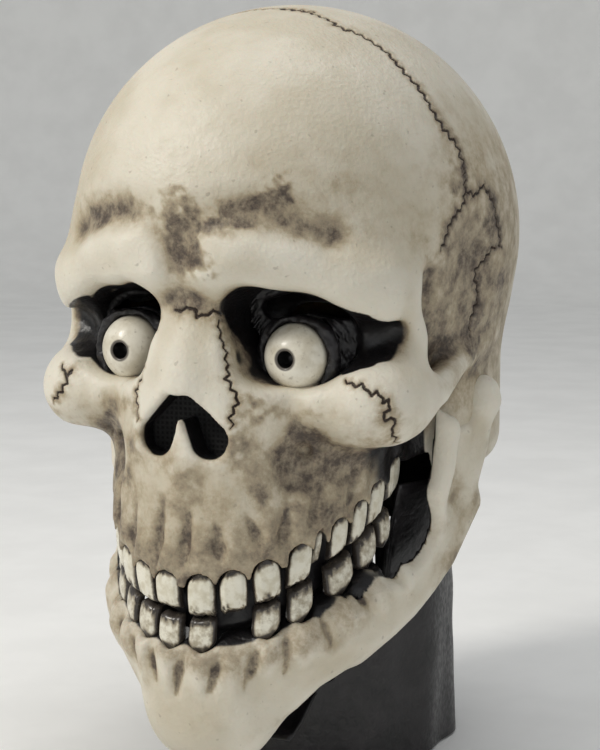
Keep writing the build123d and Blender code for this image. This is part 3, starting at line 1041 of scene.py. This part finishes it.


# %% Black, wash and painted shade on the jaw
jaw_skin = make_mesh("jaw_skin_cast", *jaw_mesh)
points = vertex_points(jaw_skin)
x, y, z = points.T
bite = z - SLOPE * y
narrow = jaw.sample(points + jaw.normals(points), jaw_hollow[0])
broad = jaw.sample(points + 2 * jaw.normals(points), jaw_hollow[1])
behind = ramp(at(jaw_oval(-3.5), points), 0, -1.5) * ramp(broad, -0.9, -0.3)
row_form = at(column((ROW_X - 2, ROW_Y - 2), ARCH_Y, -200, 100), points)
edge = ramp(bite, GUM_LOWER - 1.5, GUM_LOWER + 0.5) * ramp(row_form, 1.0, -0.8)
wash = 1.7 * ramp(narrow, -0.24, 0.12)
# painted shade: darker in the middling hollows
wash += 0.95 * ramp(broad, -0.27, 0.22)
wash += 0.40 * ramp(bite, GUM_LOWER - 24, GUM_LOWER - 4) * ramp(y, -40, -60)
wash += 0.5 * ramp(np.abs(x), 60, 76) * ramp(z, -30, -80) * ramp(y, -50, 0)
wash += 0.10 * wander(points, 14, 9)
# the raised mask is a painted highlight on the jaw's ridges
paint(jaw_skin, wash=wash, black=np.maximum(behind, edge), crack=0 * x,
      raised=ramp(-broad, 0.32, 0.48), bare=0 * x)
print("jaw painted")


# %% [markdown]
# ## Materials
# Every finish is made of nodes. One helper adds a node with its settings and its links, one turns
# a colour as a painter names it into the linear values that light needs, and one turns the size
# of a grain in millimetres into a texture's scale.

# %% Three helpers
def linear(code, alpha=1.0):
    """An sRGB hex colour as linear values."""
    parts = [int(code[i:i + 2], 16) / 255 for i in (1, 3, 5)]
    return (*(c / 12.92 if c <= 0.04045 else ((c + 0.055) / 1.055) ** 2.4 for c in parts), alpha)


def node(material, kind, inputs, out=0, **settings):
    """Adds a node and returns one of its outputs. inputs holds values, or outputs to link from."""
    made = material.node_tree.nodes.new(kind)
    for name, value in settings.items():
        setattr(made, name, value)
    for name, value in inputs.items():
        if isinstance(value, bpy.types.NodeSocket):
            material.node_tree.links.new(value, made.inputs[name])
        else:
            made.inputs[name].default_value = value
    return made.outputs[out] if made.outputs else None


def grain(size_mm):
    """The texture scale at which one feature is that many millimetres wide."""
    return 1 / (size_mm * MM)


print("grain of 2 mm is scale", grain(2))


# %% [markdown]
# A painter works in coats: a base, then thinner colours that stay only where a mask lets them.
# The next helpers do that with the node helper. A coat is a field, the two field values between
# which it fades in, how strongly it covers at each, and its colour.

# %% Start a material, break up a mask, lay the coats, finish the surface
def new_material(name, grains):
    """A material and its clouds of noise. grains is (millimetres, detail, roughness) of each."""
    material = bpy.data.materials.new(name)
    material.use_nodes = True
    material.node_tree.nodes.clear()
    place = node(material, "ShaderNodeTexCoord", {}, out="Object")
    clouds = [node(material, "ShaderNodeTexNoise", {"Vector": place, "Scale": grain(size),
                   "Detail": detail, "Roughness": rough}) for size, detail, rough in grains]
    return material, place, *clouds


def broken_up(m, mask, steps):
    """A mask made uneven by fields. A step is (operation, field, from, to, result from, to)."""
    for operation, field, low, high, least, most in steps:
        spread = node(m, "ShaderNodeMapRange", {"Value": field, "From Min": low, "From Max": high,
                      "To Min": least, "To Max": most}, interpolation_type="SMOOTHSTEP")
        mask = node(m, "ShaderNodeMath", {0: mask, 1: spread}, operation=operation)
    return mask


def coats(m, colour, layers):
    """Coats of paint over a base colour. A layer is (field, from, to, least, most, colour)."""
    for field, low, high, least, most, code in layers:
        cover = node(m, "ShaderNodeMapRange", {"Value": field, "From Min": low, "From Max": high,
                     "To Min": least, "To Max": most}, interpolation_type="SMOOTHSTEP")
        colour = node(m, "ShaderNodeMix", {0: cover, 6: colour, 7: linear(code)}, out=2,
                      data_type="RGBA")
    return colour


def surface(m, colour, gloss, heights, **fixed):
    """The shader and its relief. gloss is (field, from, to, roughness from, to), or a socket;
    heights is (field, depth in millimetres), coarse to fine."""
    relief = {}
    for field, depth in heights:
        relief = {"Normal": node(m, "ShaderNodeBump", {"Height": field, "Distance": depth * MM,
                                 "Strength": 1.0, **relief})}
    if isinstance(gloss, tuple):
        field, low, high, least, most = gloss
        gloss = node(m, "ShaderNodeMapRange", {"Value": field, "From Min": low, "From Max": high,
                     "To Min": least, "To Max": most}, interpolation_type="SMOOTHSTEP")
    shader = node(m, "ShaderNodeBsdfPrincipled", {"Base Color": colour, "Roughness": gloss,
                  **relief, **fixed})
    node(m, "ShaderNodeOutputMaterial", {"Surface": shader})
    return m


print("painter's helpers ready")


# %% [markdown]
# ** Painted slush latex** is satin, not glossy: rubber-based paint is dabbed on with a sponge, so
# the eye sees a stippled, leathery grain about a millimetre wide, cream on the high places with a
# painted highlight on the ridges, and brown and grey in the low ones, partly real wash and partly
# painted shade. Latex has an IOR near 1.5 and lets a little light in.

# %% The bone finish
def bone_latex():
    m, place, clouds, blotch, stipple, speck, lumps = new_material(
        "painted slush latex, old bone",
        [(38, 3, 0.55), (7, 5, 0.65), (1.5, 3, 0.6), (2.6, 1, 0.4), (6, 4, 0.55)])
    wash, black, crack, raised, bare = (
        node(m, "ShaderNodeAttribute", {}, out="Fac", attribute_name=name)
        for name in ("wash", "black", "crack", "raised", "bare"))
    # the wash mask, broken up: real wash, and painted shade in hollows, round the teeth and on the
    # sides
    uneven_wash_and_shade = broken_up(m, wash, [("MULTIPLY", blotch, 0.28, 0.72, 0.72, 1.25),
                                  ("MULTIPLY", stipple, 0.3, 0.7, 0.90, 1.10),
                                  ("ADD", blotch, 0.3, 0.7, -0.05, 0.05)])
    colour = coats(m, linear("#D8D1C0"), [(clouds, 0.35, 0.65, 0, 1, "#C8BFAA"),
                                          (blotch, 0.5, 0.78, 0, 0.22, "#BDB29C")])
    # painted highlight: the raised places are lightened
    ridge_highlight = node(m, "ShaderNodeMath", {0: raised, 1: 0.6}, operation="MULTIPLY")
    colour = node(m, "ShaderNodeMix", {0: ridge_highlight, 6: colour, 7: linear("#E6E1D3")}, out=2,
                  data_type="RGBA")
    # brown, grey and near-black coats: real wash and painted shade
    colour = coats(m, colour, [(uneven_wash_and_shade, 0.02, 0.6, 0, 0.8, "#A69679"),
                               (uneven_wash_and_shade, 0.32, 1.25, 0, 0.95, "#564A40"),
                               (uneven_wash_and_shade, 0.95, 1.7, 0, 0.95, "#241F1D"),
                               (speck, 0.72, 0.80, 0, 0.30, "#6E5F4D"),
                               (crack, 0.15, 0.7, 0, 0.95, "#33261E")])
    colour = node(m, "ShaderNodeMix", {0: bare, 6: colour, 7: linear("#B99F74")}, out=2,
                  data_type="RGBA")
    colour = coats(m, colour, [(black, 0.2, 0.75, 0, 1, "#151314")])
    satin = node(m, "ShaderNodeMapRange", {"Value": blotch, "From Min": 0.3, "From Max": 0.7,
                 "To Min": 0.44, "To Max": 0.60}, interpolation_type="SMOOTHSTEP")
    gloss = node(m, "ShaderNodeMix", {0: black, 2: satin, 3: 0.36}, data_type="FLOAT")
    leather = node(m, "ShaderNodeTexVoronoi", {"Vector": place, "Scale": grain(2.2),
                   "Randomness": 1.0})
    return surface(m, colour, gloss, [(lumps, 0.28), (leather, 0.12), (stipple, 0.18)],
                   **{"IOR": 1.5, "Subsurface Weight": 0.06, "Subsurface Scale": 0.004,
                      "Specular IOR Level": 0.45})


bone = bone_latex()
print(bone.name, len(bone.node_tree.nodes), "nodes")


# %% [markdown]
# ** Painted teeth** have a glossier coat than the bone. The edge of the crown and the root end hold
# dark paint, and fine dark lines run up from the worn edge. The sides of each tooth get dark
# outline paint and painted shade, and its back and the whole lower row are darkened as painted
# shade. Each tooth carries its own masks.

# %% The tooth finish
def tooth_paint():
    m, _, blotch, streak = new_material("glossed tooth paint", [(3.5, 4, 0.55), (1.1, 3, 0.55)])
    wash = node(m, "ShaderNodeAttribute", {}, out="Fac", attribute_name="wash")
    # dark paint, and painted shade on the sides, the back and the lower row
    dirt_and_shade = broken_up(m, wash, [("ADD", blotch, 0.3, 0.7, -0.12, 0.12),
                                ("ADD", streak, 0.3, 0.7, -0.06, 0.06)])
    colour = coats(m, linear("#E6E2D2"), [(blotch, 0.35, 0.7, 0, 1, "#CFC8B2"),
                                          (dirt_and_shade, 0.2, 0.65, 0, 0.8, "#8D8069"),
                                          (dirt_and_shade, 0.5, 1.0, 0, 0.95, "#2B2523")])
    return surface(m, colour, (blotch, 0.3, 0.7, 0.24, 0.40), [(blotch, 0.12), (streak, 0.06)],
                   **{"IOR": 1.5, "Coat Weight": 0.15, "Coat Roughness": 0.2})


tooth_finish = tooth_paint()
print(tooth_finish.name, len(tooth_finish.node_tree.nodes), "nodes")


# %% [markdown]
# **Black latex** lines the eye cups, the mouth and the neck. It is nearly black and slightly
# shiny, because it is painted thick. The **eyeballs** are hard balls under a gloss coat.

# %% Black latex and eyeball paint
def black_latex(name, size, depth):
    m, _, cloud, fine = new_material(name, [(size * 4, 3, 0.55), (size, 4, 0.55)])
    colour = coats(m, linear("#121112"), [(cloud, 0.3, 0.7, 0, 1, "#232022")])
    return surface(m, colour, (fine, 0.3, 0.7, 0.30, 0.50),
                   [(cloud, depth * 1.5), (fine, depth)], IOR=1.5)


def painted_ball():
    m, _, cloud, blotch = new_material("glossed eyeball paint", [(9, 4, 0.55), (2.2, 4, 0.55)])
    wash, black = (node(m, "ShaderNodeAttribute", {}, out="Fac", attribute_name=name)
                   for name in ("wash", "black"))
    colour = coats(m, linear("#E8E3D4"), [(cloud, 0.35, 0.65, 0, 1, "#CDC5B1"),
                                          (blotch, 0.58, 0.75, 0, 0.45, "#8A7C68"),
                                          # dark paint round the pupil, and painted shade where the
                                          # ball sinks into the cup
                                          (wash, 0.1, 0.9, 0, 0.9, "#3A322D"),
                                          (black, 0.3, 0.8, 0, 1, "#0C0B0B")])
    return surface(m, colour, (blotch, 0.3, 0.7, 0.28, 0.42), [(blotch, 0.1)],
                   **{"IOR": 1.5, "Coat Weight": 0.2, "Coat Roughness": 0.15})


cup_finish = black_latex("thick black latex, worked", 1.4, 0.15)
lining_finish = black_latex("black latex lining", 2.5, 0.25)
ball_finish = painted_ball()
print("black latex and eyeball paint mixed")


# %% [markdown]
# **Gauze** is a black net whose threads lie about a millimetre apart. **Foam** is a grey mass of
# open cells; real ones are half a millimetre wide, drawn here at 0.8 mm so that they still show.
# The floor is **matt card**, whose faint clouds keep it from looking computed.

# %% Gauze, foam and floor
def gauze():
    m, place = new_material("black woven gauze", [])
    threads = [node(m, "ShaderNodeTexWave", {"Vector": place, "Scale": grain(1.0) / math.tau,
                    "Distortion": 0.4, "Detail": 1.0}, out="Fac", bands_direction=way)
               for way in ("X", "Z")]
    weave = node(m, "ShaderNodeMath", {0: threads[0], 1: threads[1]}, operation="MAXIMUM")
    colour = coats(m, linear("#030303"), [(weave, 0.3, 0.9, 0, 1, "#0B0A0B")])
    return surface(m, colour, (weave, 0, 1, 0.9, 0.7), [(weave, 0.25)], IOR=1.45)


def foam():
    m, place, stain = new_material("open-cell grey foam", [(18, 4, 0.55)])
    cells = node(m, "ShaderNodeTexVoronoi", {"Vector": place, "Scale": grain(0.8)})
    colour = coats(m, linear("#4E5052"), [(cells, 0.1, 0.6, 0, 1, "#8B8D8F"),
                                          (stain, 0.4, 0.7, 0, 0.3, "#6F6A62")])
    return surface(m, colour, (cells, 0, 1, 0.95, 0.85), [(cells, 0.4)], IOR=1.4)


def floor_finish():
    m, _, cloud, fine = new_material("matt white card", [(60, 4, 0.55), (3, 4, 0.55)])
    colour = coats(m, linear("#F2F2F0"), [(cloud, 0.3, 0.7, 0, 1, "#F8F8F6")])
    return surface(m, colour, (fine, 0.3, 0.7, 0.8, 0.9), [], IOR=1.45)


gauze_finish, foam_finish = gauze(), foam()
print("materials:", len(bpy.data.materials))


# %% [markdown]
# ## The rest of the mask
# The jaw opens, and the black skin behind the teeth and the web under the chin reach from the skull
# to the jaw. They are the same latex as the lining, shaped between the two bodies and attached to
# neither.

# %% Mouth lining, throat web, nose gauze
def fitted(name, grid, closed=False):
    """A thin sheet from a grid of points, rows by columns."""
    rows, columns = grid.shape[:2]
    faces = []
    for i in range(rows - 1):
        for j in range(columns if closed else columns - 1):
            k, low, high = (j + 1) % columns, i * columns, (i + 1) * columns
            faces.append((low + j, low + k, high + k, high + j))
    return make_mesh(name, grid.reshape(-1, 3), faces)


def thicken(thing, millimetres):
    wall = thing.modifiers.new("wall", "SOLIDIFY")
    wall.thickness = millimetres * MM
    wall.offset = 0
    bake_modifiers(thing)


def bake_modifiers(thing):
    depsgraph = bpy.context.evaluated_depsgraph_get()
    mesh = bpy.data.meshes.new_from_object(thing.evaluated_get(depsgraph))
    thing.modifiers.clear()
    thing.data = mesh
    mesh.shade_smooth()


def give(thing, finish, body, slot, *nodes):
    """Finish, body, slot (not used) and the fixed nodes that a piece stands for."""
    thing.data.materials.clear()
    thing.data.materials.append(finish)
    if body:
        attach(thing, body)
    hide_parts(*nodes)
    return thing


give(skull_skin, bone, "skull", "bone_latex", "skull_skin")
give(jaw_skin, bone, "jaw", "bone_latex", "jaw_skin")
rows = []
LINING_TOP, LINING_FOOT = GUM_UPPER + 2.6, GUM_LOWER + 1.0
for share in np.linspace(0, 1, 16):
    height = LINING_TOP + (LINING_FOOT - LINING_TOP) * share
    row = []
    for a in np.linspace(-math.pi / 2, math.pi / 2, 90):
        pucker = 0.5 * math.sin(a * 31) + 0.4 * math.sin(a * 17 + share * 5)
        sag = 1.2 * math.sin(math.pi * share) + pucker * math.sin(math.pi * share) + 1.8
        px, py = (48 - sag) * math.sin(a), ARCH_Y - (61 - sag) * math.cos(a)
        row.append((px, py, height + SLOPE * py))
    ends = [(row[n][0], -20.0, height + SLOPE * -20) for n in (0, -1)]
    row = [ends[0], *row, ends[1]]
    rows.append(row)
lining = fitted("mouth_lining_skin", np.array(rows))
thicken(lining, 1.4)
give(lining, lining_finish, None, "black_latex", "mouth_lining")
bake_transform(lining)
print("lining:", len(lining.data.vertices), "vertices")

# (how far forward, how high, how deep its folds are) from the chin back to the neck
WEB = [(-71, -142, 0), (-66, -140, 1), (-60, -137, 1.4), (-53, -133, 1), (-46.5, -129, 0)]
web = np.array([[(x, y, z + 0.8 * math.cos(x * 0.35) * fold) for x in np.linspace(-30, 30, 40)]
                for y, z, fold in WEB])
throat = fitted("throat_web_skin", web)
thicken(throat, 1.2)
give(throat, lining_finish, None, "black_latex", "throat_web")
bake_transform(throat)
NET_WIDE, NET_HIGH, NET_MIDDLE = 36, 30, -19.5
rows = []
for z in np.linspace(NET_MIDDLE - NET_HIGH / 2, NET_MIDDLE + NET_HIGH / 2, 26):
    sag = 1.2 * math.cos(math.pi * (z + 19) / 32)
    rows.append([(x, -90.6 + sag * math.cos(math.pi * x / 38), z)
                 for x in np.linspace(-NET_WIDE / 2, NET_WIDE / 2, 30)])
net = np.array(rows)
net_piece = fitted("nose_gauze_net", net)
thicken(net_piece, 0.5)
give(net_piece, gauze_finish, "skull", "black_gauze", "nose_gauze")
print("web and gauze made")


# %% [markdown]
# The neck is a thin black skirt, pulled into soft folds, with a slit at the back between two
# flaps. Its folds are waves that grow towards the hem, on the same oval tube as the CAD's skirt. It
# runs round the front in one piece, and its upper edge dips there, which leaves the chin its room.

# %% Neck skirt and back flaps
NECK_OVALS = [(-165, 18, 60, 64), (-84, 18, 58, 62), (-46.2, 14, 69, 78)]
NECK_WALL = 1.6
HEM, COLLAR = -164.5, -46.5


def neck_point(angle, z):
    heights, centres, across, along = np.array(NECK_OVALS).T
    cy, rx, ry = (np.interp(z, heights, row) for row in (centres, across, along))
    low = np.clip((-60 - z) / 90, 0, 1)
    fold = low * (0.9 * math.sin(angle * 13 + z * 0.02) + 0.6 * math.sin(angle * 7 + 2 + z * 0.05))
    fold += 0.5 * math.sin(z * 0.22 + 1.5 * math.sin(angle * 3)) * (1 - low)
    rx, ry = rx - NECK_WALL + fold, ry - NECK_WALL + fold
    return rx * math.sin(angle), cy + ry * math.cos(angle), z


def neck_part(name, angles, heights):
    grid = np.array([[neck_point(a, z) for a in angles] for z in heights])
    piece = fitted(name, grid)
    thicken(piece, NECK_WALL)
    return piece


def angle_of(x):
    """The angle from straight back at which the neck reaches a distance to the side."""
    return math.asin(x / 59)


slit = angle_of(46.8)
front = np.linspace(slit, 2 * math.pi - slit, 240)
from_front = np.degrees(np.abs(front - math.pi))
tops = np.interp(from_front, (0, 32, 46, 53, 57), (-129, -128, -112, -98, COLLAR))
grid = np.array([[neck_point(a, HEM + share * (top - HEM)) for a, top in zip(front, tops)]
                 for share in np.linspace(0, 1, 70)])
neck = fitted("neck_skirt_skin", grid)
thicken(neck, NECK_WALL)
over_flaps = neck_part("neck_top", np.linspace(-slit, slit, 60), np.linspace(-83, COLLAR, 26))
with bpy.context.temp_override(active_object=neck, selected_editable_objects=[neck, over_flaps]):
    bpy.ops.object.join()
give(neck, lining_finish, "skull", "black_latex", "neck_skirt")
for side, sign in (("left", 1), ("right", -1)):
    angles = sign * np.linspace(angle_of(1.0), angle_of(45), 40)
    flap = neck_part(f"back_flap_{side}_skin", angles, np.linspace(-161, -86, 50))
    give(flap, lining_finish, f"back_flap_{side}", "black_latex", f"back_flap_{side}")
print("neck:", len(neck.data.vertices), "vertices")


# %% [markdown]
# Foam pads keep the skin off the wearer's head. They are cut from sheet foam, so their corners
# are soft and their faces slightly swollen: a remesh of the CAD's pad, relaxed until it rounds.
# The temples are dug deeper than the CAD's, so their pads move in, and the chin's pad loses its
# lower rear edge, which would rub on the neck when the jaw opens.

# %% Foam pads
TEMPLE_IN = 2.2


def foam_pad(name, body):
    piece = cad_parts[name].copy()
    piece.data = piece.data.copy()
    piece.name = name + "_foam"
    piece.parent = None
    piece.hide_render = piece.hide_viewport = False
    bpy.context.scene.collection.objects.link(piece)
    if "temple" in name:
        piece.location.x -= math.copysign(TEMPLE_IN * MM, sum(v.co.x for v in piece.data.vertices))
    if name == "chin_pad":
        for v in piece.data.vertices:
            v.co.y = min(v.co.y, -0.0475 + 0.18 * v.co.z)
    remesh = piece.modifiers.new("even", "REMESH")
    remesh.mode, remesh.voxel_size = "VOXEL", 2.2 * MM
    relax = piece.modifiers.new("soft corners", "SMOOTH")
    relax.factor, relax.iterations = 0.5, 12
    bake_modifiers(piece)
    give(piece, foam_finish, body, "grey_foam", name)
    return piece


pads = [foam_pad(name, "jaw" if name == "chin_pad" else "skull")
        for name in sorted(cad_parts) if name.endswith("_pad") or "_pad_" in name]
print(len(pads), "foam pads")


# %% Paint and place the teeth and eyes
for name, tooth in teeth.items():
    row = "upper" if name.startswith("upper") else "lower"
    t = np.repeat(np.linspace(0, 1, RINGS), ROUND)
    a = np.tile(np.linspace(0, 2 * math.pi, ROUND, endpoint=False), RINGS)
    sides = np.abs(np.cos(a)) ** 3
    streaks = np.abs(wander(vertex_points(tooth) * (1, 1, 0.15), 1.6, len(name) + int(t.size)))
    wash = 0.08 + 1.2 * ramp(t, 0.30, 0.06) + 0.6 * ramp(t, 0.88, 1.0)
    # outline paint and painted shade on the sides where the teeth meet; painted shade on the back
    wash += 0.95 * ramp(sides, 0.30, 0.95) + 0.8 * ramp(np.sin(a), 0.1, -0.4)
    wash += 0.7 * streaks * ramp(np.abs(t - 0.5), 0.12, 0.5)
    # painted shade: the lower row darker overall and towards its edge, under the upper row
    if row == "lower":
        wash += 0.30 + 0.5 * ramp(t, 0.72, 1.0)
    if name.endswith("stub"):
        wash += 0.4
    paint(tooth, wash=wash)
    give(tooth, tooth_finish, "skull" if row == "upper" else "jaw", "tooth_enamel_paint", name)
for side in ("left", "right"):
    ball_piece, cup_piece = eyes[side], eyes["cup_" + side]
    points = vertex_points(ball_piece) - BALL * (1 if side == "left" else -1, 1, 1)
    off = np.hypot(points[:, 0], points[:, 2])
    # painted shade: the ball darkens towards the back, in the cup; a dark paint ring round the
    # pupil
    paint(ball_piece, wash=ramp(points[:, 1], -6.5, -2) + 0.9 * ramp(np.abs(off - 3.6), 0.9, 0.2),
          black=ramp(off, PUPIL_R + 0.35, PUPIL_R + 0.05) * ramp(points[:, 1], 6, 3))
    give(ball_piece, ball_finish, "skull", "painted_eyeball", f"eyeball_{side}")
    give(cup_piece, cup_finish, "skull", "black_latex", f"eye_cup_{side}")
print("teeth and eyes painted")


# %% [markdown]
# ## Floor, light and camera
# The floor is plain pale card that curves up far behind. The light is a soft even sky with one
# broad lamp from the front and upper left, a weak one from the right, which keeps the temple side
# darker, and one from above.

# %% Stage: rings from the middle of the floor out to the rim
FLOOR = float(cad_box[0][2]) / MM - 0.5
FLAT, BEND = 2300, 500
ring = [(radius, FLOOR) for radius in (0.01, 600, 1400, FLAT)]
for a in np.linspace(0.2, 1.57, 8):
    ring.append((FLAT + BEND * math.sin(a), FLOOR + BEND * (1 - math.cos(a))))
ring.append((FLAT + BEND, FLOOR + 2 * BEND))
turns = np.linspace(0, 2 * math.pi, 97)[:-1]
bowl = np.array([[(r * math.cos(a), r * math.sin(a), h) for a in turns] for r, h in ring])
floor = fitted("floor", bowl, closed=True)
floor.data.materials.append(floor_finish())
print("floor at", FLOOR, "mm")


# %% Lamps and sky
def lamp(name, place, aim, size, watts, colour):
    """A round lamp; places are in metres."""
    light = bpy.data.lights.new(name, "AREA")
    light.shape, light.size, light.energy = "DISK", size, watts
    light.color = linear(colour)[:3]
    thing = bpy.data.objects.new(name, light)
    thing.location = place
    thing.rotation_euler = (Vector(aim) - Vector(place)).to_track_quat("-Z", "Y").to_euler()
    bpy.context.scene.collection.objects.link(thing)


lamp("key", (-0.8, -0.95, 1.1), (0, 0, 0.02), 0.45, 15, "#FFFBF4")
lamp("fill", (1.1, -0.8, 0.35), (0, 0, 0), 0.9, 1.0, "#F4F8FF")
lamp("top", (0.1, 0.2, 1.3), (0, 0, 0.05), 0.7, 4, "#FFFFFF")
world = bpy.data.worlds.new("bright even sky")
world.use_nodes = True
world.node_tree.nodes["Background"].inputs["Color"].default_value = linear("#F2F4F6")
world.node_tree.nodes["Background"].inputs["Strength"].default_value = 0.42
bpy.context.scene.world = world
bpy.context.scene.view_settings.view_transform = "Standard"
print("lamps:", len(bpy.data.lights))

# %% Camera
AZIMUTH, ELEVATION, DISTANCE = math.radians(26), math.radians(7), 0.75
target = Vector((0, 0, -0.009))
lens = bpy.data.cameras.new("camera")
lens.lens = 85.7                          # millimetres, a portrait lens
camera = bpy.data.objects.new("camera", lens)
bpy.context.scene.collection.objects.link(camera)
camera.location = target + DISTANCE * Vector((math.sin(AZIMUTH) * math.cos(ELEVATION),
                                              -math.cos(AZIMUTH) * math.cos(ELEVATION),
                                              math.sin(ELEVATION)))
camera.rotation_euler = (target - camera.location).to_track_quat("-Z", "Y").to_euler()
bpy.context.scene.camera = camera
print("camera at", tuple(round(v, 3) for v in camera.location))
